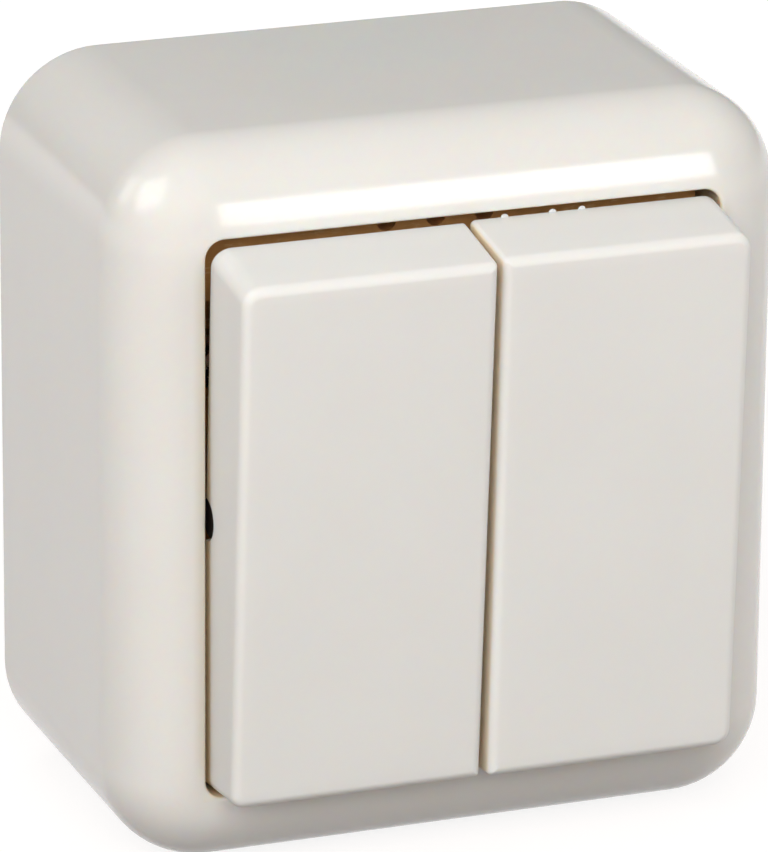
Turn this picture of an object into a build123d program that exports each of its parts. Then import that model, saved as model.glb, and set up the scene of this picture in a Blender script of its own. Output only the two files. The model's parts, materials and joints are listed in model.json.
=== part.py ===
from build123d import *
from math import atan2, cos, degrees, radians, sin
import os

# A surface-mounted light switch with two rockers under one hood.
# The wall face lies in the plane Y = 0, the front looks along -Y and Z points up.
# Heights are measured from the wall towards the front. Sizes are in millimetres and degrees.

# Hood
hood_width = 66.0
hood_height = 70.4
hood_depth = 37.2
hood_wall = 2.0
hood_corner_radius = 9.65
hood_front_radius = 8.0
hood_draft = 0.3
border_side = 7.85
border_end = 8.15
opening_corner_radius = 1.8
opening_lip_radius = 0.3
collar_wall = 1.4
collar_length = 7.5
breakout_width = 18.0
breakout_height = 16.0
breakout_skin = 0.8

# Rocker caps and their bearing
left_rest_tilt = 3.4
right_rest_tilt = 2.4
end_tilt = 3.4
pivot_setback = 1.7
face_stand = 7.15
skirt_depth = 3.0
skirt_hub_length = 14.0
skirt_end_rise = 0.2
cap_wall = 1.7
cap_side_gap = 0.35
cap_side_play = 0.2
cap_end_gap = 0.35
cap_centre_gap = 0.5
cap_side_inset = 0.1
cap_end_inset = 1.15
cap_outer_corner_radius = 1.2
cap_inner_corner_radius = 0.5
cap_edge_radius = 0.9
cap_rib_thickness = 1.2
cap_rib_depth = 3.0
cap_rib_spacing = 34.0

# Bearing frame with its ears
frame_thickness = 2.0
ear_clearance = 0.8
ear_thickness = 2.0
ear_width = 8.4
ear_foot_width = 13.0
ear_snap_slot = 3.2
bearing_clearance = 0.05
plunger_window_width = 7.0
plunger_window_length = 9.0
ledge_height = 7.9
ledge_length = 6.2
ledge_foot = 2.0
ledge_clearance = 0.85
vent_notch_radius = 0.95
vent_notch_spacing = 4.8
vent_notch_margin = 0.35
vent_notch_shift = 1.45

# Cradles
stub_radius = 1.9
stub_snap_clearance = 0.15
stub_setback = 0.6
cradle_side_clearance = 0.6
cradle_hub_radius = 3.4
cradle_seat_length = 24.0
cradle_seat_thickness = 1.8
cradle_web = 5.0
tube_length = 8.5
tube_bore_radius = 2.2
tube_bore_top = 3.2

# Plungers and their springs
plunger_clearance = 0.1
plunger_tip_radius = 1.3
plunger_tip_gap = 0.3
plunger_nose_length = 3.4
plunger_body_length = 6.6
plunger_stem_radius = 0.9
plunger_stem_length = 3.0
spring_wire_radius = 0.22
spring_mean_radius = 1.5
spring_coils = 6
spring_wire_sides = 6
spring_end_gap = 0.02

# Contact levers, rail and output strips
lever_ratio = 1.75
lever_half_length = 11.0
lever_width = 5.0
lever_thickness = 0.9
lever_dish = 0.15
lever_dish_half_length = 3.0
lever_pivot_radius = 1.2
lever_pivot_drop = 0.6
saddle_clearance = 0.05
saddle_length = 4.8
saddle_floor = 0.65
saddle_drop = 0.1
strip_thickness = 0.8
strip_width = 4.0
strip_overlap = 2.2
rail_width = 5.6
contact_offset = 9.3
lever_tip_radius = 1.6
lever_tip_thickness = 0.6
fixed_tip_radius = 1.7
contact_end_gap = 0.1

# Contact block
block_side_clearance = 0.15
block_height = 46.0
block_front = 23.0
block_corner_radius = 2.5
block_floor = 1.0
lever_pivot_depth = 4.0
chamber_width = 9.0
chamber_end_clearance = 1.2
channel_clearance = 0.2

# Terminals
terminal_margin = 4.5
cage_width = 8.0
cage_depth = 8.5
cage_length = 6.5
cage_wall = 1.0
cage_clearance = 0.2
wire_space = 2.3
wire_hole_radius = 1.1
wire_hole_spacing = 3.0
clamp_screw_radius = 1.7
clamp_thread_clearance = 0.05
clamp_head_radius = 2.7
clamp_head_height = 2.2
clamp_head_gap = 0.5
screw_access_clearance = 0.3
screw_slot_width = 0.9
screw_slot_depth = 1.0

# Base plate
base_thickness = 2.2
base_clearance = 0.3
base_rim_height = 9.0
base_rim_wall = 1.4
post_radius = 3.4
pilot_floor = 1.0
block_screw_margin = 3.5
block_screw_spacing_z = 24.0
block_screw_radius = 1.45
block_screw_clearance = 0.15
block_screw_thread_clearance = 0.05
block_screw_length = 20.0
block_screw_head_radius = 2.7
block_screw_head_height = 1.8
cable_entry_radius = 8.5
cable_entry_drop = 12.0
wall_slot_margin = 6.6
wall_slot_width = 4.2
wall_slot_length = 6.4
hook_spacing = 32.0
hook_length = 7.0
hook_height = 5.0
hook_rise = 1.8
hook_reach = 0.75
hook_clearance = 0.2
hook_slit = 1.0

# Heights, widths and reaches that follow from the sizes above
opening_width = hood_width - 2 * border_side
opening_height = hood_height - 2 * border_end
block_width = opening_width - 2 * block_side_clearance
pivot_height = hood_depth - pivot_setback
face_height = pivot_setback + face_stand
cap_inner_height = face_height - cap_wall
cap_slant = degrees(atan2(2 * (cap_end_inset + cap_side_inset), face_height + skirt_depth))
cap_width = (opening_width - cap_centre_gap) / 2 - cap_side_gap
cap_length = opening_height - 2 * cap_end_gap
gang_offset = (cap_width + cap_centre_gap) / 2
stub_reach = cap_width / 2 - stub_setback
ear_spacing = cap_width - 2 * (cap_wall + cap_side_inset + ear_clearance) - ear_thickness
cradle_half_width = (ear_spacing - ear_thickness) / 2 - cradle_side_clearance
frame_front = block_front + frame_thickness
ledge_width = opening_width - 2 * ledge_clearance
ledge_end = opening_height / 2 - ledge_clearance
lever_pivot_height = block_front - lever_pivot_depth
lever_top = lever_pivot_drop + lever_thickness
saddle_radius = lever_pivot_radius + saddle_clearance
strip_front = lever_pivot_height - saddle_radius - saddle_floor
strip_back = strip_front - strip_thickness
cage_back = strip_back - wire_space - cage_wall
cage_front = cage_back + cage_depth
block_back = cage_back - block_floor
block_screw_spacing_x = block_width - 2 * block_screw_margin
terminal_offset = block_height / 2 - terminal_margin
plunger_reach = pivot_height - lever_pivot_height - lever_top - plunger_tip_gap
inner_width = hood_width - 2 * hood_wall
inner_height = hood_height - 2 * hood_wall
inner_corner_radius = hood_corner_radius - hood_wall
base_width = inner_width - 2 * base_clearance
base_height = inner_height - 2 * base_clearance
base_corner_radius = inner_corner_radius - base_clearance
wall_screw_spacing = base_height - 2 * wall_slot_margin

gangs = {"left": (-1, left_rest_tilt), "right": (1, right_rest_tilt)}
terminals = {
    "common": (0, terminal_offset),
    "left": (-gang_offset, -terminal_offset),
    "right": (gang_offset, -terminal_offset),
}


# A plane parallel to the wall, at a height in front of it
def front(height):
    return Plane.XZ.offset(height)


# The plane through a gang's pivot, tipped so that its upper end leans out by the tilt
def tipped(side, height, tilt):
    return front(height).move(Location((side * gang_offset, 0, 0))).rotated((tilt, 0, 0))


# A plane that cuts across another one at the given X, with its first axis running up the part
def across(plane, x):
    return Plane(origin=plane.from_local_coords((x, 0, 0)), x_dir=plane.y_dir, z_dir=plane.x_dir)


# A plane that stands on another one at a distance up the part, facing down
def along(plane, up):
    return Plane(origin=plane.from_local_coords((0, up, 0)), x_dir=plane.x_dir, z_dir=-plane.y_dir)


def save(builder, name):
    builder.part.label = name
    export_step(builder.part, f"parts/{name}.step")


os.makedirs("parts", exist_ok=True)
wall = front(0)

# Base plate: a floor with a low rim, four screw posts, two wall slots and a cable entry
with BuildPart() as base_plate:
    with BuildSketch(wall):
        RectangleRounded(base_width, base_height, base_corner_radius)
    extrude(amount=base_rim_height)
    with BuildSketch(front(base_thickness)):
        RectangleRounded(
            base_width - 2 * base_rim_wall,
            base_height - 2 * base_rim_wall,
            base_corner_radius - base_rim_wall,
        )
    extrude(amount=base_rim_height, mode=Mode.SUBTRACT)
    with BuildSketch(front(base_thickness)):
        Rectangle(breakout_width, base_height)
    extrude(amount=base_rim_height, mode=Mode.SUBTRACT)
    with BuildSketch(wall):
        with GridLocations(block_screw_spacing_x, block_screw_spacing_z, 2, 2):
            Circle(post_radius)
    extrude(amount=block_back)
    with BuildSketch(front(pilot_floor)):
        with GridLocations(block_screw_spacing_x, block_screw_spacing_z, 2, 2):
            Circle(block_screw_radius + block_screw_thread_clearance)
    extrude(amount=block_back, mode=Mode.SUBTRACT)
    with BuildSketch(wall):
        with Locations((0, -cable_entry_drop)):
            Circle(cable_entry_radius)
        with GridLocations(0, wall_screw_spacing, 1, 2):
            SlotOverall(wall_slot_length, wall_slot_width, rotation=90)
    extrude(amount=base_thickness, mode=Mode.SUBTRACT)
    # The rim is slit on both sides of each snap hook, so that the hook can spring back
    with BuildSketch(front(base_thickness)):
        for hook_z in (-hook_spacing / 2, hook_spacing / 2):
            with Locations((0, hook_z)):
                with GridLocations(base_width - base_rim_wall, hook_length + hook_slit, 2, 2):
                    Rectangle(base_rim_wall, hook_slit)
    extrude(amount=base_rim_height, mode=Mode.SUBTRACT)
    for hook_z in (-hook_spacing / 2, hook_spacing / 2):
        for side in (-1, 1):
            with BuildSketch(along(wall, hook_z + hook_length / 2)):
                with BuildLine():
                    Polyline(
                        (side * base_width / 2, hook_height),
                        (side * (base_width / 2 + hook_reach), hook_height),
                        (side * base_width / 2, hook_height + hook_rise),
                        close=True,
                    )
                make_face()
            extrude(amount=hook_length)
save(base_plate, "base_plate")

# Contact block: chambers for the levers, channels for the strips and pockets for the terminal cages
with BuildPart() as contact_block:
    with BuildSketch(front(block_back)):
        RectangleRounded(block_width, block_height, block_corner_radius)
        with GridLocations(block_screw_spacing_x, block_screw_spacing_z, 2, 2):
            Circle(block_screw_radius + block_screw_clearance, mode=Mode.SUBTRACT)
    extrude(amount=block_front - block_back)
    with BuildSketch(front(strip_back)):
        with GridLocations(2 * gang_offset, 0, 2, 1):
            Rectangle(chamber_width, 2 * (lever_half_length + chamber_end_clearance))
        Rectangle(2 * gang_offset, rail_width + 2 * channel_clearance)
        for terminal_x, terminal_z in terminals.values():
            with Locations((terminal_x, terminal_z / 2)):
                Rectangle(strip_width + 2 * channel_clearance, terminal_offset)
    extrude(amount=block_front - strip_back, mode=Mode.SUBTRACT)
    with BuildSketch(front(cage_back)):
        with Locations(*terminals.values()):
            Rectangle(cage_width + 2 * cage_clearance, cage_length + 2 * cage_clearance)
    extrude(amount=block_front - cage_back, mode=Mode.SUBTRACT)
    for terminal_x, terminal_z in terminals.values():
        with BuildSketch(along(wall, terminal_z)):
            with Locations((terminal_x, strip_back - wire_space / 2)):
                with GridLocations(wire_hole_spacing, 0, 2, 1):
                    Circle(wire_hole_radius)
        extrude(amount=block_height / 2 if terminal_z < 0 else -block_height / 2, mode=Mode.SUBTRACT)
save(contact_block, "contact_block")

# Common rail: a brass strip with a grooved saddle under each lever and a tail to its terminal
with BuildPart() as common_rail:
    with BuildSketch(front(strip_back)):
        Rectangle(2 * gang_offset + lever_width, rail_width)
        with Locations((0, (terminal_offset + cage_length / 2) / 2)):
            Rectangle(strip_width, terminal_offset + cage_length / 2)
    extrude(amount=strip_thickness)
    for side, _ in gangs.values():
        with BuildSketch(across(wall, side * gang_offset - lever_width / 2)):
            with Locations((0, strip_front)):
                Rectangle(
                    saddle_length,
                    lever_pivot_height - saddle_drop - strip_front,
                    align=(Align.CENTER, Align.MIN),
                )
            with Locations((0, lever_pivot_height)):
                Circle(saddle_radius, mode=Mode.SUBTRACT)
        extrude(amount=lever_width)
save(common_rail, "common_rail")

# Output strips with their silver tips, which lie under the lower lever arms
closed_angle = radians(lever_ratio * end_tilt)
lever_tip_back = lever_pivot_drop - lever_tip_thickness
lever_tip_edge = contact_offset + lever_tip_radius
closed_drop = lever_tip_edge * sin(closed_angle) - lever_tip_back * cos(closed_angle)
fixed_tip_front = lever_pivot_height - closed_drop - contact_end_gap
strip_inner_end = contact_offset - strip_overlap
strip_outer_end = terminal_offset + cage_length / 2
for gang, (side, _) in gangs.items():
    with BuildPart() as output_strip:
        with BuildSketch(front(strip_back)):
            with Locations((side * gang_offset, -strip_inner_end)):
                Rectangle(strip_width, strip_outer_end - strip_inner_end, align=(Align.CENTER, Align.MAX))
        extrude(amount=strip_thickness)
    save(output_strip, f"output_strip_{gang}")
    with BuildPart() as fixed_tip:
        with BuildSketch(front(strip_front)):
            with Locations((side * gang_offset, -contact_offset)):
                Circle(fixed_tip_radius)
        extrude(amount=fixed_tip_front - strip_front)
    save(fixed_tip, f"fixed_tip_{gang}")

# Terminals: a square cage round each strip end and a slotted screw that clamps the wire in it
for terminal, (terminal_x, terminal_z) in terminals.items():
    with BuildPart() as terminal_cage:
        with BuildSketch(along(wall, terminal_z + cage_length / 2)):
            with Locations((terminal_x, cage_back)):
                Rectangle(cage_width, cage_depth, align=(Align.CENTER, Align.MIN))
            with Locations((terminal_x, cage_back + cage_wall)):
                Rectangle(
                    cage_width - 2 * cage_wall,
                    cage_depth - 2 * cage_wall,
                    align=(Align.CENTER, Align.MIN),
                    mode=Mode.SUBTRACT,
                )
        extrude(amount=cage_length)
        with BuildSketch(front(strip_front)):
            with Locations((terminal_x, terminal_z)):
                Circle(clamp_screw_radius + clamp_thread_clearance)
        extrude(amount=cage_front - strip_front, mode=Mode.SUBTRACT)
    save(terminal_cage, f"terminal_cage_{terminal}")
    with BuildPart() as terminal_screw:
        with BuildSketch(front(strip_front)):
            with Locations((terminal_x, terminal_z)):
                Circle(clamp_screw_radius)
        extrude(amount=cage_front + clamp_head_gap - strip_front)
        with BuildSketch(front(cage_front + clamp_head_gap)):
            with Locations((terminal_x, terminal_z)):
                Circle(clamp_head_radius)
        extrude(amount=clamp_head_height)
        with BuildSketch(front(cage_front + clamp_head_gap + clamp_head_height - screw_slot_depth)):
            with Locations((terminal_x, terminal_z)):
                Rectangle(2 * clamp_head_radius, screw_slot_width)
        extrude(amount=screw_slot_depth, mode=Mode.SUBTRACT)
    save(terminal_screw, f"terminal_screw_{terminal}")

# Bearing frame: covers the block, with a raised ledge under the rocker ends, and carries each rocker
# between two ears with snap-in bearings
with BuildPart() as bearing_frame:
    with BuildSketch(front(block_front)):
        RectangleRounded(block_width, block_height, block_corner_radius)
        Rectangle(ledge_width, 2 * (ledge_end - ledge_length + ledge_foot))
        with GridLocations(block_screw_spacing_x, block_screw_spacing_z, 2, 2):
            Circle(block_screw_radius + block_screw_clearance, mode=Mode.SUBTRACT)
        with Locations(*terminals.values()):
            Circle(clamp_head_radius + screw_access_clearance, mode=Mode.SUBTRACT)
        with GridLocations(2 * gang_offset, 0, 2, 1):
            Rectangle(plunger_window_width, plunger_window_length, mode=Mode.SUBTRACT)
    extrude(amount=frame_thickness)
    with BuildSketch(front(frame_front)):
        with GridLocations(0, 2 * ledge_end - ledge_length, 1, 2):
            Rectangle(ledge_width, ledge_length)
        with Locations(*terminals.values()):
            Circle(clamp_head_radius + screw_access_clearance, mode=Mode.SUBTRACT)
        with GridLocations(block_screw_spacing_x, block_screw_spacing_z, 2, 2):
            Circle(block_screw_head_radius + screw_access_clearance, mode=Mode.SUBTRACT)
        with Locations((-vent_notch_shift, ledge_end - vent_notch_margin)):
            with GridLocations(vent_notch_spacing, 0, 3, 1):
                Circle(vent_notch_radius, mode=Mode.SUBTRACT)
    extrude(amount=ledge_height)
    for side, _ in gangs.values():
        for ear_side in (-1, 1):
            ear_x = side * gang_offset + (ear_side * ear_spacing - ear_thickness) / 2
            with BuildSketch(across(wall, ear_x)):
                with Locations((0, pivot_height)):
                    Circle(ear_width / 2)
                with Locations((0, block_front)):
                    Rectangle(ear_foot_width, frame_thickness, align=(Align.CENTER, Align.MIN))
                make_hull()
                with Locations((0, pivot_height)):
                    Circle(stub_radius + bearing_clearance, mode=Mode.SUBTRACT)
                    Rectangle(
                        ear_snap_slot,
                        ear_width,
                        align=(Align.CENTER, Align.MIN),
                        mode=Mode.SUBTRACT,
                    )
            extrude(amount=ear_thickness)
save(bearing_frame, "bearing_frame")

# Block screws: through the frame and the block into the base posts
with BuildPart() as block_screws:
    with BuildSketch(front(frame_front - block_screw_length)):
        with GridLocations(block_screw_spacing_x, block_screw_spacing_z, 2, 2):
            Circle(block_screw_radius)
    extrude(amount=block_screw_length)
    with BuildSketch(front(frame_front)):
        with GridLocations(block_screw_spacing_x, block_screw_spacing_z, 2, 2):
            Circle(block_screw_head_radius)
    extrude(amount=block_screw_head_height)
    with BuildSketch(front(frame_front + block_screw_head_height - screw_slot_depth)):
        with GridLocations(block_screw_spacing_x, block_screw_spacing_z, 2, 2):
            Rectangle(2 * block_screw_head_radius, screw_slot_width)
    extrude(amount=screw_slot_depth, mode=Mode.SUBTRACT)
save(block_screws, "block_screws")


# The tapered block of a rocker cap, set in from its outside by a wall
def cap_block(plane, inset):
    half_length = cap_length / 2 - inset
    half_width = cap_width / 2 - inset
    top = face_height - inset
    with BuildPart() as block:
        with BuildSketch(across(plane, -half_width)):
            with BuildLine():
                Polyline(
                    (-half_length, -skirt_depth),
                    (half_length, -skirt_depth),
                    (half_length - cap_end_inset, top),
                    (cap_end_inset - half_length, top),
                    close=True,
                )
            make_face()
        extrude(amount=2 * half_width)
        with BuildSketch(along(plane, half_length)):
            with BuildLine():
                Polyline(
                    (-half_width, -skirt_depth),
                    (half_width, -skirt_depth),
                    (half_width - cap_side_inset, top),
                    (cap_side_inset - half_width, top),
                    close=True,
                )
            make_face()
        extrude(amount=2 * half_length, mode=Mode.INTERSECT)
    return block.part


# Rockers: each cap sits on a cradle whose stubs turn in the ears and snap into the cap's side walls
for gang, (side, rest_tilt) in gangs.items():
    rocker_plane = tipped(side, pivot_height, rest_tilt)
    outward = Axis(rocker_plane.origin, rocker_plane.z_dir)
    sideways = Axis(rocker_plane.origin, rocker_plane.x_dir * side)
    # Both caps rest at the right-hand end of the side play that the stubs leave them
    cap_plane = Plane(
        origin=rocker_plane.from_local_coords((cap_side_play, 0, 0)),
        x_dir=rocker_plane.x_dir,
        z_dir=rocker_plane.z_dir,
    )
    with BuildPart() as rocker:
        add(cap_block(cap_plane, 0))
        corners = rocker.edges().filter_by(outward, tolerance=cap_slant).sort_by(sideways)
        fillet(corners[-2:], cap_outer_corner_radius)
        fillet(rocker.faces().sort_by(outward)[-1].edges(), cap_edge_radius)
        corners = rocker.edges().filter_by(outward, tolerance=cap_slant).sort_by(sideways)
        fillet(corners[:2], cap_inner_corner_radius)
        add(cap_block(cap_plane, cap_wall), mode=Mode.SUBTRACT)
        # The skirt is deep at the bearing and runs out towards both ends
        with BuildSketch(across(cap_plane, -cap_width / 2)):
            for end in (-1, 1):
                with BuildLine():
                    Polyline(
                        (end * skirt_hub_length / 2, -skirt_depth),
                        (end * cap_length / 2, -skirt_depth),
                        (end * cap_length / 2, skirt_end_rise),
                        close=True,
                    )
                make_face()
        extrude(amount=cap_width, mode=Mode.SUBTRACT)
        with BuildSketch(across(cap_plane, cap_wall - cap_width / 2)):
            with Locations((0, cap_inner_height)):
                with GridLocations(cap_rib_spacing, 0, 2, 1):
                    Rectangle(cap_rib_thickness, cap_rib_depth, align=(Align.CENTER, Align.MAX))
        extrude(amount=cap_width - 2 * cap_wall)
        with BuildSketch(across(cap_plane, -cap_width / 2)):
            Circle(stub_radius + stub_snap_clearance)
        extrude(amount=cap_width, mode=Mode.SUBTRACT)
    save(rocker, f"rocker_{gang}")

    with BuildPart() as cradle:
        with BuildSketch(across(rocker_plane, -cradle_half_width)):
            Circle(cradle_hub_radius)
            Rectangle(cradle_web, cap_inner_height, align=(Align.CENTER, Align.MIN))
            with Locations((0, cap_inner_height)):
                Rectangle(cradle_seat_length, cradle_seat_thickness, align=(Align.CENTER, Align.MAX))
        extrude(amount=2 * cradle_half_width)
        with BuildSketch(across(rocker_plane, -stub_reach)):
            Circle(stub_radius)
        extrude(amount=2 * stub_reach)
        with BuildSketch(rocker_plane.offset(-tube_length)):
            Circle(cradle_hub_radius)
        extrude(amount=tube_length)
        with BuildSketch(rocker_plane.offset(-tube_length)):
            Circle(tube_bore_radius)
        extrude(amount=tube_length + tube_bore_top, mode=Mode.SUBTRACT)
    save(cradle, f"cradle_{gang}")

    # The plunger is turned about the tube's axis, with a round nose and a stem inside its spring
    plunger_radius = tube_bore_radius - plunger_clearance
    shoulder = plunger_nose_length + plunger_body_length - plunger_reach
    with BuildPart() as plunger:
        with BuildSketch(across(rocker_plane, 0)):
            with BuildLine():
                nose = CenterArc((0, plunger_tip_radius - plunger_reach), plunger_tip_radius, -90, 90)
                Polyline(
                    nose @ 1,
                    (plunger_radius, plunger_nose_length - plunger_reach),
                    (plunger_radius, shoulder),
                    (plunger_stem_radius, shoulder),
                    (plunger_stem_radius, shoulder + plunger_stem_length),
                    (0, shoulder + plunger_stem_length),
                    nose @ 0,
                )
            make_face()
        revolve(axis=outward)
    save(plunger, f"plunger_{gang}")

    spring_foot = shoulder + spring_wire_radius + spring_end_gap
    spring_head = tube_bore_top - spring_wire_radius - spring_end_gap
    spring_plane = rocker_plane.offset(spring_foot)
    with BuildPart() as plunger_spring:
        with BuildLine(spring_plane) as coil:
            Helix(
                (spring_head - spring_foot) / spring_coils,
                spring_head - spring_foot,
                spring_mean_radius,
                direction=spring_plane.z_dir,
            )
        with BuildSketch(Plane(origin=coil.line @ 0, z_dir=coil.line % 0)):
            RegularPolygon(spring_wire_radius, spring_wire_sides)
        sweep(path=coil.line, is_frenet=True)
    save(plunger_spring, f"plunger_spring_{gang}")

    # The lever rocks in its saddle the other way from the rocker, with its tip on the lower arm
    lever_plane = tipped(side, lever_pivot_height, -lever_ratio * rest_tilt)
    with BuildPart() as contact_lever:
        with BuildSketch(across(lever_plane, -lever_width / 2)):
            with BuildLine():
                Polyline(
                    (-lever_half_length, lever_pivot_drop),
                    (lever_half_length, lever_pivot_drop),
                    (lever_half_length, lever_top),
                    (lever_dish_half_length, lever_top),
                    (0, lever_top - lever_dish),
                    (-lever_dish_half_length, lever_top),
                    (-lever_half_length, lever_top),
                    close=True,
                )
            make_face()
            Circle(lever_pivot_radius)
        extrude(amount=lever_width)
    save(contact_lever, f"contact_lever_{gang}")
    with BuildPart() as lever_tip:
        with BuildSketch(lever_plane.offset(lever_pivot_drop)):
            with Locations((0, -contact_offset)):
                Circle(lever_tip_radius)
        extrude(amount=-lever_tip_thickness)
    save(lever_tip, f"lever_tip_{gang}")

# The drafted block of the hood, rounded all round its front and set in from its outside by a wall
def hood_block(inset):
    with BuildPart() as block:
        with BuildSketch(wall):
            RectangleRounded(hood_width - 2 * inset, hood_height - 2 * inset, hood_corner_radius - inset)
        extrude(amount=hood_depth - inset, taper=hood_draft)
        fillet(block.faces().sort_by(Axis.Y)[0].edges(), hood_front_radius - inset)
    return block.part


# Hood: a shell with one opening and a collar behind the opening's edge
with BuildPart() as hood:
    add(hood_block(0))
    add(hood_block(hood_wall), mode=Mode.SUBTRACT)
    collar_back = hood_depth - hood_wall - collar_length
    with BuildSketch(front(collar_back)):
        RectangleRounded(
            opening_width + 2 * collar_wall,
            opening_height + 2 * collar_wall,
            opening_corner_radius + collar_wall,
        )
    extrude(amount=collar_length + hood_wall / 2)
    with BuildSketch(front(collar_back)):
        RectangleRounded(opening_width, opening_height, opening_corner_radius)
    extrude(amount=hood_depth, mode=Mode.SUBTRACT)
    fillet(
        hood.edges().filter_by_position(Axis.Y, -hood_depth - opening_lip_radius, opening_lip_radius - hood_depth),
        opening_lip_radius,
    )
    # Thin cable break-outs in the top and bottom walls, cut from the inside
    with BuildSketch(wall):
        Rectangle(breakout_width, hood_height - 2 * breakout_skin)
    extrude(amount=breakout_height, mode=Mode.SUBTRACT)
    # Pockets for the snap hooks of the base
    with BuildSketch(front(hook_height - hook_clearance)):
        with GridLocations(0, hook_spacing, 1, 2):
            Rectangle(base_width + 2 * (hook_reach + hook_clearance), hook_length + 2 * hook_clearance)
    extrude(amount=hook_rise + 2 * hook_clearance, mode=Mode.SUBTRACT)
save(hood, "hood")
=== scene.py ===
import json
import math

import bmesh
import bpy
import numpy as np
from mathutils import Matrix, Vector


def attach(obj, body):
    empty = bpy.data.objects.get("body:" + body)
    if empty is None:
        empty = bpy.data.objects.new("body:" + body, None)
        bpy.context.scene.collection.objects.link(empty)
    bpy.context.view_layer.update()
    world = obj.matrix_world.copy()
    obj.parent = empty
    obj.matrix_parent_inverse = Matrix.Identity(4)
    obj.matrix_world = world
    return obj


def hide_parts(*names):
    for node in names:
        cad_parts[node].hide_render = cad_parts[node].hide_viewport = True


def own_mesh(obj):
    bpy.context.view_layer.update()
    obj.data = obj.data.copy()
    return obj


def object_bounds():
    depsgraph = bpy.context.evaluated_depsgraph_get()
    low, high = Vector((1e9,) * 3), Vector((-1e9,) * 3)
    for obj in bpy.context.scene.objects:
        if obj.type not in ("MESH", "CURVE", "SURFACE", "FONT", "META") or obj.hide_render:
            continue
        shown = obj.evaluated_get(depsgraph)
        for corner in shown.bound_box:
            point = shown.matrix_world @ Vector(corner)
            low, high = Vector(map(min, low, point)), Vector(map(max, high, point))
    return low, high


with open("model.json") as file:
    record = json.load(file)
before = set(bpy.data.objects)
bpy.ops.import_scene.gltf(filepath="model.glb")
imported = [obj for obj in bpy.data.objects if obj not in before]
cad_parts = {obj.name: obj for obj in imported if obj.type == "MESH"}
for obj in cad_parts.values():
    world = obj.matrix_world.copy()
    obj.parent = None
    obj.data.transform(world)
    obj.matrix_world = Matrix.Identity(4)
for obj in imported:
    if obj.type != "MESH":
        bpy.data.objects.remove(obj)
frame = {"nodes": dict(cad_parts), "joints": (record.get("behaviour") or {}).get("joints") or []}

cad_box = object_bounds()


# Base plate
# The flat back that is screwed to the wall, with a low rim that the hood snaps over. It is moulded in matt
# thermoset, a greyer cream than the hood, and keeps the fine eroded grain of its mould.
mm = 0.001


class Shade:
    """A socket of a finish. Arithmetic on it adds Math nodes to the same tree."""

    def __init__(self, tree, socket):
        self.tree = tree
        self.socket = socket

    def put(self, target, value):
        if isinstance(value, Shade):
            self.tree.links.new(value.socket, target)
        else:
            target.default_value = value

    def node(self, kind, settings, sockets, out=0):
        made = self.tree.nodes.new(kind)
        for name, value in settings.items():
            setattr(made, name, value)
        for name, value in sockets.items():
            self.put(next(s for s in made.inputs if name in (s.identifier, s.name)), value)
        found = [s for k, s in enumerate(made.outputs) if out in (k, s.identifier, s.name)]
        return Shade(self.tree, found[0])

    def math(self, operation, first, second):
        return self.node("ShaderNodeMath", {"operation": operation}, {"Value": first, "Value_001": second})

    def __add__(self, other):
        return self.math("ADD", self, other)

    def __radd__(self, other):
        return self.math("ADD", other, self)

    def __sub__(self, other):
        return self.math("SUBTRACT", self, other)

    def __rsub__(self, other):
        return self.math("SUBTRACT", other, self)

    def __mul__(self, other):
        return self.math("MULTIPLY", self, other)

    def __rmul__(self, other):
        return self.math("MULTIPLY", other, self)

    def noise(self, size, detail=2.0, stretch=(1.0, 1.0, 1.0)):
        """Soft noise with features of about this size in metres, drawn out along an axis by its stretch."""
        scale = tuple(1 / (size * s) for s in stretch)
        place = self.node("ShaderNodeMapping", {}, {"Vector": self, "Scale": scale})
        return place.node("ShaderNodeTexNoise", {}, {"Vector": place, "Scale": 1.0, "Detail": detail})

    def ramp(self, low, high):
        """0 below the low value and 1 above the high one, with a smooth step between."""
        return self.node(
            "ShaderNodeMapRange",
            {"interpolation_type": "SMOOTHSTEP"},
            {"Value": self, "From Min": low, "From Max": high},
        )

    def tint(self, first, second):
        """The first colour where this is 0, the second where it is 1."""
        return self.node(
            "ShaderNodeMix",
            {"data_type": "RGBA"},
            {
                "Factor_Float": self,
                "A_Color": first if isinstance(first, Shade) else (*first, 1.0),
                "B_Color": second if isinstance(second, Shade) else (*second, 1.0),
            },
            "Result_Color",
        )

    def parts(self):
        """The X, Y and Z of a vector."""
        first = self.node("ShaderNodeSeparateXYZ", {}, {"Vector": self})
        return [Shade(self.tree, socket) for socket in first.socket.node.outputs]

    def size(self):
        """The value without its sign."""
        return self.math("ABSOLUTE", self, 0.0)

    def bump(self, depth):
        """A normal from this as a height, with 1 as high as the depth."""
        return self.node("ShaderNodeBump", {}, {"Height": self, "Distance": depth, "Strength": 1.0}, "Normal")


def finish(name, **fixed):
    """A new finish: its object coordinates, and a function that sets or links a socket of its surface."""
    material = bpy.data.materials.new(name)
    material.use_nodes = True
    tree = material.node_tree
    surface = tree.nodes["Principled BSDF"]
    place = Shade(tree, tree.nodes.new("ShaderNodeTexCoord").outputs["Object"])

    def give(**values):
        for socket, value in values.items():
            place.put(surface.inputs[socket.replace("_", " ")], value)

    give(**fixed)
    return material, place, give


def moulded(name, colour, deep, patch, grain, depth, dull):
    """A moulded plastic: two close tones in soft patches, and the grain of the mould."""
    material, place, give = finish(name)
    cloud = place.noise(patch, 3.0)
    fine = place.noise(grain, 2.0)
    give(
        Base_Color=cloud.ramp(0.3, 0.7).tint(colour, deep),
        Roughness=dull + 0.12 * (cloud - 0.5) + 0.06 * (fine - 0.5),
        Normal=fine.bump(depth),
    )
    return material


def dress(material, *nodes):
    """One finish for CAD pieces that are shown as they are."""
    for name in nodes:
        frame["nodes"][name].material_slots[0].material = material


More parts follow.
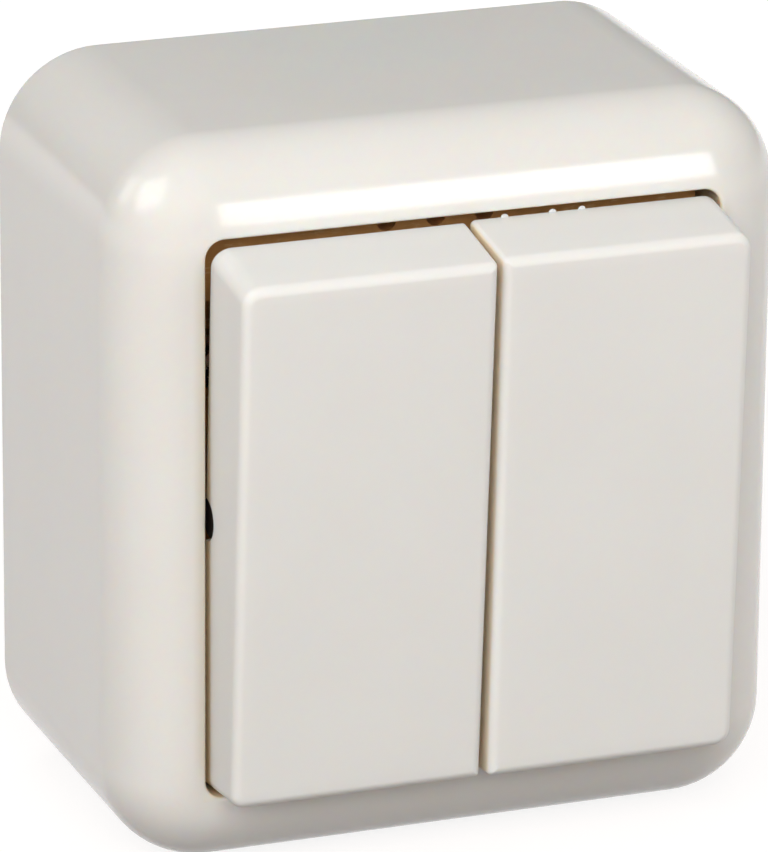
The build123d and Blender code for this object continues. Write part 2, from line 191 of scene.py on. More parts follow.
base_finish = moulded(
    "base_plastic", (0.60, 0.585, 0.535), (0.55, 0.535, 0.485),
    patch=9 * mm, grain=0.25 * mm, depth=0.012 * mm, dull=0.48,
)
dress(base_finish, "base_plate")


# Contact block
# The dark block that holds the strips and the terminals, and that the levers rock in. It is pressed from a
# mineral-filled thermoset, so the grey is speckled with pale filler and the skin is dull.
block_finish, place, give = finish("block_plastic", Specular_IOR_Level=0.4)
cloud = place.noise(6 * mm, 3.0)
filler = place.noise(0.35 * mm, 1.0).ramp(0.62, 0.74)
give(
    Base_Color=filler.tint(cloud.tint((0.105, 0.105, 0.115), (0.075, 0.075, 0.08)), (0.24, 0.24, 0.235)),
    Roughness=0.55 + 0.15 * (cloud - 0.5),
    Normal=place.noise(0.3 * mm).bump(0.015 * mm),
)
dress(block_finish, "contact_block")


# Rail and output strips
# Strips stamped from rolled brass: fine roll lines run along them, and the metal has darkened in patches.
# They are pressed into channels in the block.
def rolled_metal(name, colour, dark, stretch, dull):
    """Rolled or drawn metal: hair lines along the stretch, with faint patches of tarnish."""
    material, place, give = finish(name, Metallic=1.0)
    lines = place.noise(0.12 * mm, 2.0, stretch)
    patches = place.noise(4 * mm, 4.0).ramp(0.45, 0.75)
    give(
        Base_Color=patches.tint(colour, dark),
        Roughness=dull + 0.1 * patches + 0.12 * (lines - 0.5),
        Normal=lines.bump(0.004 * mm),
    )
    return material


brass_finish = rolled_metal(
    "brass_strip", (0.76, 0.56, 0.25), (0.52, 0.34, 0.13), stretch=(1, 1, 40), dull=0.26
)
dress(brass_finish, "common_rail", "output_strip_left", "output_strip_right")


# Fixed contact tips
# Rivets of silver alloy, headed over in holes of the output strips. The working faces are bright, with a
# little soot from the spark.
silver_finish = rolled_metal(
    "silver_tip", (0.86, 0.85, 0.82), (0.42, 0.40, 0.38), stretch=(1, 1, 1), dull=0.2
)
dress(silver_finish, "fixed_tip_left", "fixed_tip_right")


# Terminals
# Folded cages of zinc-plated steel sit around the strip ends, and a slotted screw in each clamps the wire
# from the front. The screws are headed and thread-rolled, then plated with the cages.
plated_finish = rolled_metal(
    "cage_steel", (0.66, 0.66, 0.63), (0.50, 0.51, 0.50), stretch=(1, 12, 1), dull=0.3
)
dress(plated_finish, "terminal_cage_common", "terminal_cage_left", "terminal_cage_right")


def loft(name, rings, looped=False):
    """A mesh through rings with the same count of points, with capped ends or joined round in a loop."""
    count = len(rings[0])
    points = [tuple(p) for ring in rings for p in ring]
    faces = []
    for k in range(len(rings) - (0 if looped else 1)):
        first = k * count
        second = (k + 1) % len(rings) * count
        for i in range(count):
            j = (i + 1) % count
            faces.append((first + i, first + j, second + j, second + i))
    if not looped:
        faces.append(tuple(range(count)))
        faces.append(tuple(range(len(points) - count, len(points))))
    mesh = bpy.data.meshes.new(name)
    mesh.from_pydata(points, [], faces)
    work = bmesh.new()
    work.from_mesh(mesh)
    bmesh.ops.recalc_face_normals(work, faces=work.faces)
    work.to_mesh(mesh)
    work.free()
    piece = bpy.data.objects.new(name, mesh)
    bpy.context.scene.collection.objects.link(piece)
    return piece


def brick(low, high):
    """A closed block between two corners."""
    outline = ((low[0], low[2]), (high[0], low[2]), (high[0], high[2]), (low[0], high[2]))
    return loft("brick", [[(x, y, z) for x, z in outline] for y in (low[1], high[1])])


def settle(piece):
    """Turns a piece with modifiers into a plain mesh."""
    mesh = bpy.data.meshes.new_from_object(piece.evaluated_get(bpy.context.evaluated_depsgraph_get()))
    piece.modifiers.clear()
    piece.data = mesh


def carve(piece, *cutters):
    """Takes the cutters' volumes out of a piece."""
    for cutter in cutters:
        cut = piece.modifiers.new("cut", "BOOLEAN")
        cut.operation = "DIFFERENCE"
        cut.solver = "EXACT"
        cut.object = cutter
    settle(piece)
    for cutter in cutters:
        bpy.data.objects.remove(cutter)


def polish(piece, material, sharp):
    """One finish over the piece, smooth but for edges sharper than the angle."""
    piece.data.materials.clear()
    piece.data.materials.append(material)
    piece.data.polygons.foreach_set("use_smooth", [True] * len(piece.data.polygons))
    piece.data.set_sharp_from_angle(angle=math.radians(sharp))


def slotted_screw(name, shank, length, head, rise, pitch):
    """A cheese-head screw along -Y, seated at the origin, with a rolled thread and a slot."""
    around = np.linspace(0, 2 * math.pi, 48, endpoint=False)
    per_turn = 6
    turns = int(length * 0.8 / pitch)
    thread_deep = 0.45 * pitch
    thread_end = length - 0.4 * mm
    neck = 0.86 * shank
    bevel = 0.12 * mm
    slot_half = 0.45 * mm
    slot_deep = 1.0 * mm

    def ring(radii, back):
        return [(r * math.cos(a), back, r * math.sin(a)) for r, a in zip(radii, around)]

    def turned(*profile):
        return [ring([radius] * len(around), back) for radius, back in profile]

    rings = turned((0.55 * shank, length), (0.8 * shank, length - 0.25 * mm))
    for k in range(turns * per_turn):
        phase = (k / per_turn + around / (2 * math.pi)) % 1
        rings.append(ring(shank - thread_deep * (1 - np.abs(2 * phase - 1)), thread_end - k * pitch / per_turn))
    rings += turned(
        (neck, length * 0.17), (neck, 0.0), (head - bevel, 0.0), (head, -bevel), (head, 0.5 * mm - rise),
        (head - 0.15 * mm, 0.2 * mm - rise), (head - 0.5 * mm, 0.05 * mm - rise), (0.4 * head, -rise),
    )
    screw = loft(name, rings)
    carve(screw, brick((-2 * head, -2 * rise, -slot_half), (2 * head, slot_deep - rise, slot_half)))
    return screw


def screw_row():
    """Geometry nodes that set one screw at each point, turned to where the driver left its slot."""
    tree = bpy.data.node_groups.new("screw_row", "GeometryNodeTree")
    for label, kind in (
        ("Points", "NodeSocketGeometry"), ("Screw", "NodeSocketObject"),
        ("Turn Seed", "NodeSocketInt"), ("Finish", "NodeSocketMaterial"),
    ):
        tree.interface.new_socket(label, in_out="INPUT", socket_type=kind)
    tree.interface.new_socket("Screws", in_out="OUTPUT", socket_type="NodeSocketGeometry")
    source = tree.nodes.new("NodeGroupInput")
    result = tree.nodes.new("NodeGroupOutput")
    model = tree.nodes.new("GeometryNodeObjectInfo")
    turn = tree.nodes.new("FunctionNodeRandomValue")
    turn.data_type = "FLOAT"
    angle = tree.nodes.new("ShaderNodeCombineXYZ")
    rotation = tree.nodes.new("FunctionNodeEulerToRotation")
    place = tree.nodes.new("GeometryNodeInstanceOnPoints")
    real = tree.nodes.new("GeometryNodeRealizeInstances")
    paint = tree.nodes.new("GeometryNodeSetMaterial")
    next(i for i in turn.inputs if i.identifier == "Max_001").default_value = 2 * math.pi
    link = tree.links.new
    link(source.outputs["Screw"], model.inputs["Object"])
    link(source.outputs["Turn Seed"], turn.inputs["Seed"])
    link(next(o for o in turn.outputs if o.identifier == "Value_001"), angle.inputs["Y"])
    link(angle.outputs["Vector"], rotation.inputs["Euler"])
    link(source.outputs["Points"], place.inputs["Points"])
    link(model.outputs["Geometry"], place.inputs["Instance"])
    link(rotation.outputs["Rotation"], place.inputs["Rotation"])
    link(place.outputs["Instances"], real.inputs["Geometry"])
    link(real.outputs["Geometry"], paint.inputs["Geometry"])
    link(source.outputs["Finish"], paint.inputs["Material"])
    link(paint.outputs["Geometry"], result.inputs["Screws"])
    return tree


def grow(name, tree, points, **inputs):
    """A piece made by a node tree from a few points, with its named inputs set."""
    mesh = bpy.data.meshes.new(name)
    mesh.from_pydata(points, [], [])
    piece = bpy.data.objects.new(name, mesh)
    bpy.context.scene.collection.objects.link(piece)
    made = piece.modifiers.new(name, "NODES")
    made.node_group = tree
    for label, value in inputs.items():
        socket = next(s for s in tree.interface.items_tree if s.name == label.replace("_", " "))
        made[socket.identifier] = value
    settle(piece)
    return piece


screw_finish = rolled_metal(
    "screw_steel", (0.68, 0.67, 0.63), (0.52, 0.51, 0.48), stretch=(1, 1, 1), dull=0.24
)
screw_tree = screw_row()
clamp_screw = slotted_screw(
    "clamp_screw", shank=1.7 * mm, length=4.9 * mm, head=2.7 * mm, rise=2.2 * mm, pitch=0.7 * mm
)
gang_offset = 12.525 * mm
terminal_row = 18.5 * mm
terminal_front = -22.0 * mm
terminal_seats = [
    (0, terminal_front, terminal_row),
    (-gang_offset, terminal_front, -terminal_row),
    (gang_offset, terminal_front, -terminal_row),
]
terminal_screws = grow(
    "terminal_screws", screw_tree, terminal_seats, Screw=clamp_screw, Turn_Seed=4, Finish=screw_finish
)
bpy.data.objects.remove(clamp_screw)
polish(terminal_screws, screw_finish, 35)
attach(terminal_screws, "housing")
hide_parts("terminal_screw_common", "terminal_screw_left", "terminal_screw_right")


# Bearing frame
# The brown plate over the block, with a raised ledge under the rocker ends and ears that the rockers snap
# into. It is moulded in a wood-filled phenolic: short fibres make a streaky brown with a low sheen.
frame_finish, place, give = finish("frame_plastic", Specular_IOR_Level=0.45)
streak = place.noise(0.9 * mm, 4.0, (1, 1, 5))
fibre = place.noise(0.3 * mm, 2.0, (4, 1, 1)).ramp(0.55, 0.75)
give(
    Base_Color=fibre.tint(streak.tint((0.76, 0.38, 0.125), (0.88, 0.46, 0.16)), (0.92, 0.56, 0.24)),
    Roughness=0.38 + 0.2 * (streak - 0.5),
    Normal=streak.bump(0.01 * mm),
)
dress(frame_finish, "bearing_frame")


# Block screws
# Four slotted screws, of the same make as the terminal screws but longer, that clamp the frame and the
# block down to the posts of the base plate.
long_screw = slotted_screw(
    "long_screw", shank=1.45 * mm, length=20 * mm, head=2.7 * mm, rise=1.8 * mm, pitch=0.8 * mm
)
post_side = 21.5 * mm
post_row = 12.0 * mm
frame_front = -25.0 * mm
frame_seats = [(x * post_side, frame_front, z * post_row) for x in (-1, 1) for z in (-1, 1)]
block_screws = grow(
    "block_screw_set", screw_tree, frame_seats, Screw=long_screw, Turn_Seed=11, Finish=screw_finish
)
bpy.data.objects.remove(long_screw)
polish(block_screws, screw_finish, 35)
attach(block_screws, "housing")
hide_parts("block_screws")


# Contact levers
# See-saw levers stamped from the same brass as the strips, each with a dished pad that the plunger slides
# over and a silver tip riveted to its end.
dress(brass_finish, "contact_lever_left", "contact_lever_right")
dress(silver_finish, "lever_tip_left", "lever_tip_right")


# Cradles and plungers
# The dark moulding under each cap, with stub axles that snap into the ears and a tube for the spring
# plunger. Both are moulded in a tough black plastic that needs no grease, so they are satin.
cradle_finish = moulded(
    "cradle_plastic", (0.030, 0.028, 0.026), (0.045, 0.042, 0.038),
    patch=4 * mm, grain=0.2 * mm, depth=0.008 * mm, dull=0.4,
)
dress(cradle_finish, "cradle_left", "cradle_right", "plunger_left", "plunger_right")


# Plunger springs
# A coil of round music wire in each tube, between the tube's end and the plunger's shoulder.
def coil():
    """Geometry nodes for a coil spring that stands on the origin along Z."""
    tree = bpy.data.node_groups.new("coil_spring", "GeometryNodeTree")
    for label, kind in (
        ("Start", "NodeSocketGeometry"), ("Turns", "NodeSocketFloat"), ("Radius", "NodeSocketFloat"),
        ("Height", "NodeSocketFloat"), ("Wire Radius", "NodeSocketFloat"), ("Finish", "NodeSocketMaterial"),
    ):
        tree.interface.new_socket(label, in_out="INPUT", socket_type=kind)
    tree.interface.new_socket("Spring", in_out="OUTPUT", socket_type="NodeSocketGeometry")
    source = tree.nodes.new("NodeGroupInput")
    result = tree.nodes.new("NodeGroupOutput")
    spiral = tree.nodes.new("GeometryNodeCurveSpiral")
    spiral.inputs["Resolution"].default_value = 32
    wire = tree.nodes.new("GeometryNodeCurvePrimitiveCircle")
    wire.inputs["Resolution"].default_value = 12
    sweep = tree.nodes.new("GeometryNodeCurveToMesh")
    sweep.inputs["Fill Caps"].default_value = True
    real = tree.nodes.new("GeometryNodeRealizeInstances")
    paint = tree.nodes.new("GeometryNodeSetMaterial")
    link = tree.links.new
    link(source.outputs["Turns"], spiral.inputs["Rotations"])
    link(source.outputs["Radius"], spiral.inputs["Start Radius"])
    link(source.outputs["Radius"], spiral.inputs["End Radius"])
    link(source.outputs["Height"], spiral.inputs["Height"])
    link(source.outputs["Wire Radius"], wire.inputs["Radius"])
    link(spiral.outputs["Curve"], sweep.inputs["Curve"])
    link(wire.outputs["Curve"], sweep.inputs["Profile Curve"])
    link(sweep.outputs["Mesh"], real.inputs["Geometry"])
    link(real.outputs["Geometry"], paint.inputs["Geometry"])
    link(source.outputs["Finish"], paint.inputs["Material"])
    link(paint.outputs["Geometry"], result.inputs["Spring"])
    return tree


pivot_front = -35.5 * mm


def tipped(gang):
    """The tilted frame of a rocker: X across it, Y up it, Z out of its face, with the pivot at the origin."""
    slide = next(j for j in frame["joints"] if j["name"] == f"{gang}_plunger_slide")
    out = Vector(slide["axis"])
    up = out.cross(Vector((1, 0, 0)))
    side = {"left": -1, "right": 1}[gang]
    turn = Matrix((Vector((1, 0, 0)), up, out)).transposed().to_4x4()
    return Matrix.Translation((side * gang_offset, pivot_front, 0)) @ turn


spring_finish = rolled_metal(
    "spring_steel", (0.58, 0.58, 0.59), (0.40, 0.40, 0.41), stretch=(1, 1, 1), dull=0.22
)
coil_tree = coil()
spring_foot = -4.46 * mm
spring_head = 2.96 * mm
for gang in ("left", "right"):
    spring = grow(
        f"coil_spring_{gang}", coil_tree, [(0, 0, 0)], Turns=6.0, Radius=1.5 * mm,
        Height=spring_head - spring_foot, Wire_Radius=0.2 * mm, Finish=spring_finish,
    )
    spring.data.transform(tipped(gang) @ Matrix.Translation((0, 0, spring_foot)))
    polish(spring, spring_finish, 60)
    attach(spring, f"{gang}_rocker")
    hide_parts(f"plunger_spring_{gang}")
    tipped(gang).col[2][:3]
    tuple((tipped(gang) @ Vector((0, 0, spring_head)))[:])
    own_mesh(spring)


# Rocker caps
# Two cream caps fill the opening side by side, each tipped to its own rest. They are injection moulded with
# a satin face, softly rounded edges, and a skirt that runs out towards the ends; snapped onto the cradles.
def rounded(half_a, half_b, radii, steps=12):
    """Points round a rectangle with rounded corners, from the corner with both signs plus."""
    ring = []
    for (sign_a, sign_b), radius, start in zip(((1, 1), (-1, 1), (-1, -1), (1, -1)), radii, (0, 90, 180, 270)):
        for k in range(steps + 1):
            angle = math.radians(start + 90 * k / steps)
            ring.append((
                sign_a * (half_a - radius) + radius * math.cos(angle),
                sign_b * (half_b - radius) + radius * math.sin(angle),
            ))
    return ring


rocker_finish, place, give = finish(
    "rocker_plastic", Subsurface_Weight=0.35, Subsurface_Radius=(1.0, 0.6, 0.35), Subsurface_Scale=1.6 * mm,
    Specular_IOR_Level=0.2,
)
cloud = place.noise(14 * mm, 3.0)
fine = place.noise(0.4 * mm, 2.0)
cap_cream = cloud.ramp(0.3, 0.7).tint((0.770, 0.755, 0.722), (0.760, 0.744, 0.710))
# The warm tan is painted shade: it stands in for the dim, warm bounce light on the cap walls in the centre gap
# and on the walls behind the hood's front. It is not the colour of the plastic.
gap_shade_tan = (0.82, 0.69, 0.49)
across, deep, _ = place.parts()
centre_gap_shade = 1 - (across - 0.2 * mm).size().ramp(0.26 * mm, 0.45 * mm)
deep_wall_shade = deep.ramp(-37.0 * mm, -36.2 * mm)
give(
    Base_Color=deep_wall_shade.tint(centre_gap_shade.tint(cap_cream, gap_shade_tan), gap_shade_tan),
    Roughness=0.42 + 0.08 * (cloud - 0.5) + 0.05 * (fine - 0.5),
    Normal=fine.bump(0.002 * mm),
)

# Sizes of a cap in millimetres: x across it, u up it and n out of its face, from the pivot.
cap_half_width = 12.275
cap_play = 0.2
cap_side_inset = 0.1
cap_half_length = 26.7
cap_end_inset = 1.15
cap_low_half_length = 27.33
cap_low_inset = 1.78
cap_corners = {"left": (0.5, 1.8, 1.3, 0.5), "right": (1.7, 0.5, 0.5, 1.7)}
cap_foot = -3.0
cap_face = 8.85
cap_wall = 1.7
cap_edge = 0.9
edge_start = cap_face - cap_edge
edge_lead = 0.6
edge_steps = 12
face_border = 1.0
hub_half_length = 7.0
skirt_end = 0.2
skirt_top = 1.5
bore_radius = 2.05
bore_ends = (-20, 20)
rib_half_length = 11.0
rib_half_width = 0.6
rib_low = 4.15
rib_high = 7.4
rib_places = (-17, 17)
pip_radius = 0.38
pip_places = (-9.0, -4.3, -1.4)
pip_line = cap_half_length - 0.34
pip_level = skirt_end + 0.2


def cap_ring(height, wall, radii, inset=0.0):
    """A level ring round the cap, or the skirt's sloping rim where the height is None."""
    share = cap_face - wall - cap_foot
    least_round = 0.05

    def at(level):
        rise = (level - cap_foot) / share
        upper = cap_half_length - cap_end_inset * rise
        lower = cap_low_half_length - cap_low_inset * rise
        ring = rounded(
            cap_half_width - wall - cap_side_inset * rise - inset,
            (upper + lower) / 2 - wall - inset,
            [max(r - inset, least_round) for r in radii],
        )
        return [(x, u + (upper - lower) / 2) for x, u in ring]

    if height is not None:
        return [(x, u, height) for x, u in at(height)]
    rim = []
    for index, (_, u) in enumerate(at(cap_foot)):
        run = max(abs(u) - hub_half_length, 0) / (cap_half_length - hub_half_length)
        level = cap_foot + (skirt_end - cap_foot) * run
        rim.append((*at(level)[index], level))
    return rim


def in_metres(rings):
    """Rings with sizes in millimetres, for a mesh."""
    return [[(x * mm, y * mm, z * mm) for x, y, z in ring] for ring in rings]


def pip(x, u, n):
    """A small round gate mark on the rim of a cap's end wall, pointing into the hood."""
    around = np.linspace(0, 2 * math.pi, 16, endpoint=False)
    rings = []
    for k in range(7):
        bend = math.radians(85 * k / 6)
        radius = pip_radius * math.cos(bend)
        drop = n - pip_radius * math.sin(bend)
        rings.append([(x + radius * math.cos(a), u + radius * math.sin(a), drop) for a in around])
    return loft("pip", in_metres(rings))


for gang, radii in cap_corners.items():
    inner = [max(r - cap_wall, 0.3) for r in radii]
    rings = [
        cap_ring(cap_face - cap_wall, cap_wall, inner),
        cap_ring(None, cap_wall, inner),
        cap_ring(None, 0.0, radii),
        cap_ring(skirt_top, 0.0, radii),
        cap_ring(edge_start - edge_lead, 0.0, radii),
    ]
    for k in range(edge_steps + 1):
        bend = math.radians(90 * k / edge_steps)
        level = edge_start + cap_edge * math.sin(bend)
        rings.append(cap_ring(level, 0.0, radii, cap_edge * (1 - math.cos(bend))))
    rings.append(cap_ring(cap_face, 0.0, radii, cap_edge + face_border))
    cap = loft(f"cap_{gang}", in_metres(rings))
    around = np.linspace(0, 2 * math.pi, 48, endpoint=False)
    bore = [(bore_radius * math.cos(a), bore_radius * math.sin(a)) for a in around]
    carve(cap, loft("bore", in_metres([[(x, u, n) for u, n in bore] for x in bore_ends])))
    extras = [
        brick(
            (-rib_half_length * mm, (u - rib_half_width) * mm, rib_low * mm),
            (rib_half_length * mm, (u + rib_half_width) * mm, rib_high * mm),
        )
        for u in rib_places
    ]
    if gang == "right":
        extras += [pip(x, pip_line, pip_level) for x in pip_places]
    for extra in extras:
        joined = bmesh.new()
        joined.from_mesh(cap.data)
        joined.from_mesh(extra.data)
        joined.to_mesh(cap.data)
        joined.free()
        bpy.data.objects.remove(extra)
    cap.data.transform(tipped(gang) @ Matrix.Translation((cap_play * mm, 0, 0)))
    polish(cap, rocker_finish, 32)
    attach(cap, f"{gang}_rocker")
    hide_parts(f"rocker_{gang}")


# Hood
# The glossy cream box that covers the works: one injection moulding with 2 mm walls, a large round all along
# its front edge and a collar round the opening. It snaps over the hooks of the base rim and has a thinned
# break-out at the top and at the bottom for a surface cable.

# Sizes in millimetres: x across, z up and heights from the wall.
hood_half_x = 33.0
hood_half_z = 35.2
hood_corner = 9.65
hood_round = 8.0
hood_wall = 2.0
round_start = 29.2
round_sweep = 82
round_steps = 28
draft = math.tan(math.radians(0.3))
round_inset = round_start * draft
inner_round = hood_round - hood_wall
inner_run = 3.2
inner_steps = 8
foot_outer = 0.25
foot_inner = 0.2
opening_half_x = 25.15
opening_half_z = 27.05
opening_corner = 1.8
lip_round = 0.3
lip_steps = 6
collar_wall = 1.4
collar_front = 35.0
collar_back = 27.7
collar_edge = 0.2
breakout_half = 9
breakout_reach = 16
breakout_face = 34.4
hook_face = 31.65
hook_front = 7.0
hook_back = 4.8
hook_half = 3.7
hook_places = (-16, 16)

hood_finish, place, give = finish(
    "hood_plastic", Subsurface_Weight=0.7, Subsurface_Radius=(1.0, 0.6, 0.35), Subsurface_Scale=1.6 * mm
)
cloud = place.noise(18 * mm, 3.0)
peel = place.noise(1.6 * mm, 1.0)
smear = place.noise(5 * mm, 4.0, (1, 1, 2)).ramp(0.45, 0.8)
hood_cream = cloud.ramp(0.3, 0.7).tint((0.752, 0.732, 0.695), (0.742, 0.721, 0.683))
across, deep, up = place.parts()
within = (1 - across.size().ramp(25.2 * mm, 25.5 * mm)) * (1 - up.size().ramp(27.1 * mm, 27.4 * mm))
# A darker beige is painted on the hood along the sides of the opening, fading out towards its top and bottom:
# painted shade next to the lip.
beside = 1 - (across.size() - opening_half_x * mm).size().ramp(0.2 * mm, 1.4 * mm)
lip_shade_mask = beside * (1 - up.size().ramp(22 * mm, 27 * mm))
lip_shaded_cream = (0.8 * lip_shade_mask).tint(hood_cream, (0.62, 0.57, 0.48))
# Inside the opening, the collar wall behind the front is painted the same warm tan as the caps: painted shade
# in the gap.
give(
    Base_Color=(within * deep.ramp(-37.25 * mm, -36.9 * mm)).tint(lip_shaded_cream, gap_shade_tan),
    Roughness=0.16 + 0.05 * smear,
    Normal=peel.bump(0.0006 * mm),
)


def lifted(ring, height):
    """A flat ring at a height, or on a rule for the height."""
    return [(x, z, height(x, z) if callable(height) else height) for x, z in ring]


def hood_ring(inset, height):
    """A ring of the hood's outline, set in by a distance."""
    corner = max(hood_corner - inset, 0.3)
    return lifted(rounded(hood_half_x - inset, hood_half_z - inset, [corner] * 4, 16), height)


def opening_ring(grow_by, height):
    """A ring of the opening's outline, grown by a distance."""
    corner = opening_corner + grow_by
    return lifted(rounded(opening_half_x + grow_by, opening_half_z + grow_by, [corner] * 4, 16), height)


def dome(wall):
    """A rule for the height of the rounded front, for the outside or for the inside of the wall."""
    def height(x, z):
        over_x = abs(x) - (hood_half_x - hood_corner)
        over_z = abs(z) - (hood_half_z - hood_corner)
        if over_x > 0 and over_z > 0:
            inset = hood_corner - math.hypot(over_x, over_z)
        else:
            inset = min(hood_half_x - abs(x), hood_half_z - abs(z))
        radius = hood_round - wall
        run = min(max(inset - wall - round_inset, 0), radius)
        return round_start + math.sqrt(radius**2 - (radius - run) ** 2)
    return height


def between(first, second, share, height):
    """A ring part of the way from one ring to another, lifted to the rule's height."""
    ring = []
    for a, b in zip(first, second):
        x = a[0] + (b[0] - a[0]) * share
        z = a[1] + (b[1] - a[1]) * share
        ring.append((x, z, height(x, z)))
    return ring


rings = [hood_ring(foot_outer, 0.0), hood_ring(0.02, foot_outer)]
rings += [hood_ring(h * draft, h) for h in (2.0, 15.0, 27.0)]
for k in range(round_steps + 1):
    bend = math.radians(round_sweep * k / round_steps)
    inset = round_inset + hood_round * (1 - math.cos(bend))
    rings.append(hood_ring(inset, round_start + hood_round * math.sin(bend)))
edge = opening_ring(lip_round, dome(0.0))
start = rings[-1]
rings += [between(start, edge, share / 4, dome(0.0)) for share in (1, 2, 3)]
for k in range(lip_steps + 1):
    bend = math.radians(90 * k / lip_steps)
    drop = lip_round * (1 - math.cos(bend))
    lip = opening_ring(lip_round * (1 - math.sin(bend)), 0.0)
    rings.append([(x, z, top - drop) for (x, z, _), (_, _, top) in zip(lip, edge)])
rings.append(opening_ring(0.0, collar_front))
rings.append(opening_ring(0.0, collar_back + collar_edge))
rings.append(opening_ring(collar_edge, collar_back))
rings.append(opening_ring(collar_wall - collar_edge, collar_back))
rings.append(opening_ring(collar_wall, collar_back + collar_edge))
inner_edge = opening_ring(collar_wall, dome(hood_wall))
rings.append(inner_edge)
inner_start = hood_ring(hood_wall + round_inset + inner_run, dome(hood_wall))
rings += [between(inner_edge, inner_start, share / 3, dome(hood_wall)) for share in (1, 2, 3)]
for k in range(1, inner_steps + 1):
    bend = math.acos(1 - inner_run / inner_round * (1 - k / inner_steps))
    inset = hood_wall + round_inset + inner_round * (1 - math.cos(bend))
    rings.append(hood_ring(inset, round_start + inner_round * math.sin(bend)))
rings += [hood_ring(hood_wall + h * draft, h) for h in (20.0, 10.0, foot_inner)]
rings.append(hood_ring(hood_wall - foot_inner, 0.0))
hood = loft("hood_shell", in_metres([[(x, -h, z) for x, z, h in ring] for ring in rings]), looped=True)
breakouts = brick(
    (-breakout_half * mm, -breakout_reach * mm, -breakout_face * mm),
    (breakout_half * mm, 1 * mm, breakout_face * mm),
)
hook_slots = [
    brick(
        (-hook_face * mm, -hook_front * mm, (z - hook_half) * mm),
        (hook_face * mm, -hook_back * mm, (z + hook_half) * mm),
    )
    for z in hook_places
]
carve(hood, breakouts, *hook_slots)
polish(hood, hood_finish, 32)
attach(hood, "housing")
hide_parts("hood")


# Floor, light and camera
# A pale paper floor that the switch stands on, in a dim white room. Three soft boxes show only as reflections
# and six only give light. The camera is fitted to the edges in the photo.
floor_level = cad_box[0][2]
floor_half = 6
floor_corners = ((-1, -1), (1, -1), (1, 1), (-1, 1))
floor_mesh = bpy.data.meshes.new("floor")
floor_mesh.from_pydata(
    [(x * floor_half, y * floor_half, floor_level) for x, y in floor_corners], [], [(0, 1, 2, 3)]
)
floor = bpy.data.objects.new("floor", floor_mesh)
bpy.context.scene.collection.objects.link(floor)
floor_finish = bpy.data.materials.new("floor")
floor_finish.use_nodes = True
tree = floor_finish.node_tree
tree.nodes.remove(tree.nodes["Principled BSDF"])
rays = tree.nodes.new("ShaderNodeLightPath").outputs
camera_ray, glossy_ray, clear_ray = (
    Shade(tree, rays[name]) for name in ("Is Camera Ray", "Is Glossy Ray", "Is Transmission Ray")
)
seen = camera_ray + glossy_ray + clear_ray
paper = seen.node("ShaderNodeBsdfDiffuse", {}, {"Color": (0.21, 0.185, 0.172, 1)})
across, deep, _ = Shade(tree, tree.nodes.new("ShaderNodeTexCoord").outputs["Object"]).parts()
reach = (across * across + deep * deep).ramp(0.01, 0.16)
glow = seen.node("ShaderNodeEmission", {}, {"Color": seen * (0.86 + 0.13 * reach), "Strength": 1.0})
cover = seen.node("ShaderNodeAddShader", {}, {"Shader": paper, "Shader_001": glow})
tree.links.new(cover.socket, tree.nodes["Material Output"].inputs["Surface"])
floor_mesh.materials.append(floor_finish)

room = bpy.data.worlds.new("room")
bpy.context.scene.world = room
room.use_nodes = True
room_light = room.node_tree.nodes["Background"]
room_light.inputs["Color"].default_value = (1, 1, 1, 1)
room_light.inputs["Strength"].default_value = 0.22


lamp_aim = Vector((0, -30 * mm, 10 * mm))


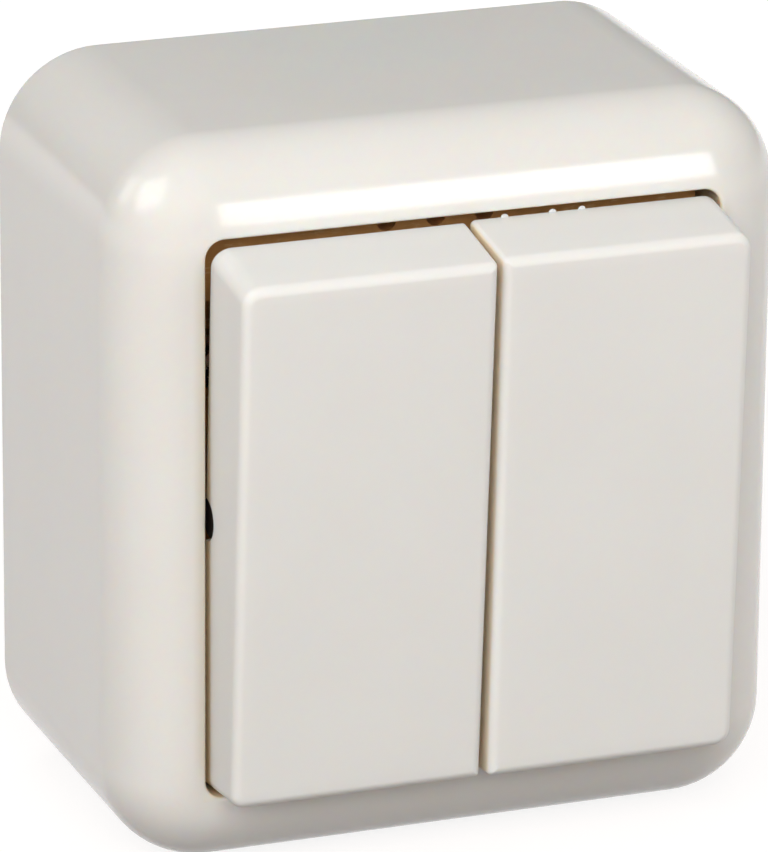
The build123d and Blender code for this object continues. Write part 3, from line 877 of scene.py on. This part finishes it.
def soft_box(name, azimuth, elevation, distance, width, height, radiance, shine=True, fill=True, roll=0):
    """A soft box that faces the switch: angles in degrees from the front, lengths in metres."""
    light = bpy.data.lights.new(name, "AREA")
    light.shape = "RECTANGLE"
    light.size = width
    light.size_y = height
    light.energy = radiance * math.pi * width * height
    lamp = bpy.data.objects.new(name, light)
    bpy.context.scene.collection.objects.link(lamp)
    a = math.radians(azimuth)
    e = math.radians(elevation)
    away = Vector((math.sin(a) * math.cos(e), -math.cos(a) * math.cos(e), math.sin(e)))
    lamp.location = lamp_aim + distance * away
    aim = away.to_track_quat("Z", "Y").to_matrix() @ Matrix.Rotation(math.radians(roll), 3, "Z")
    lamp.rotation_euler = aim.to_euler()
    lamp.visible_camera = False
    lamp.visible_glossy = shine
    lamp.visible_diffuse = fill


soft_box("right_strip", 24, 16, 0.5, 0.18, 0.25, 7.0, fill=False)
soft_box("left_strip", -84, 42, 0.6, 0.34, 0.32, 3.8, fill=False, roll=38)
soft_box("far_left_strip", -121, 29, 0.6, 0.20, 0.22, 1.9, fill=False, roll=30)
soft_box("right_fill", 25, 8, 0.52, 0.20, 0.26, 3.4, shine=False)
soft_box("left_fill", -60, 29, 0.65, 0.50, 0.36, 4.1, shine=False)
soft_box("top_fill", 0, 80, 0.7, 0.6, 0.6, 0.3, shine=False)
soft_box("back_fill", 165, 35, 0.8, 0.5, 0.4, 1.9, shine=False)
soft_box("front_fill", -20, 34, 0.8, 0.5, 0.4, 4.8, shine=False)
soft_box("side_fill", 85, 12, 0.8, 0.5, 0.4, 2.6, shine=False)

view_azimuth = math.radians(-20.589)
view_elevation = math.radians(19.320)
view_roll = math.radians(0.486)
view_distance = 655.497 * mm
view_aim = Vector((0, -20 * mm, 0))
view_left = 1.3731 * mm
view_raised = 0.9522 * mm
focal_pixels = 6941.02
photo_height = 852
sensor_width = 36.0
back = Vector((
    math.sin(view_azimuth) * math.cos(view_elevation),
    -math.cos(view_azimuth) * math.cos(view_elevation),
    math.sin(view_elevation),
))
level = (-back).cross(Vector((0, 0, 1))).normalized()
upright = level.cross(-back)
right = math.cos(view_roll) * level + math.sin(view_roll) * upright
up = math.cos(view_roll) * upright - math.sin(view_roll) * level
eye = view_aim + back * view_distance - right * view_left + up * view_raised
camera_data = bpy.data.cameras.new("camera")
camera_data.sensor_width = sensor_width
camera_data.lens = focal_pixels * sensor_width / photo_height
camera_data.clip_start = 0.01
camera = bpy.data.objects.new("camera", camera_data)
bpy.context.scene.collection.objects.link(camera)
camera.matrix_world = Matrix.Translation(eye) @ Matrix((right, up, back)).transposed().to_4x4()
bpy.context.scene.camera = camera
bpy.context.scene.view_settings.view_transform = "Standard"
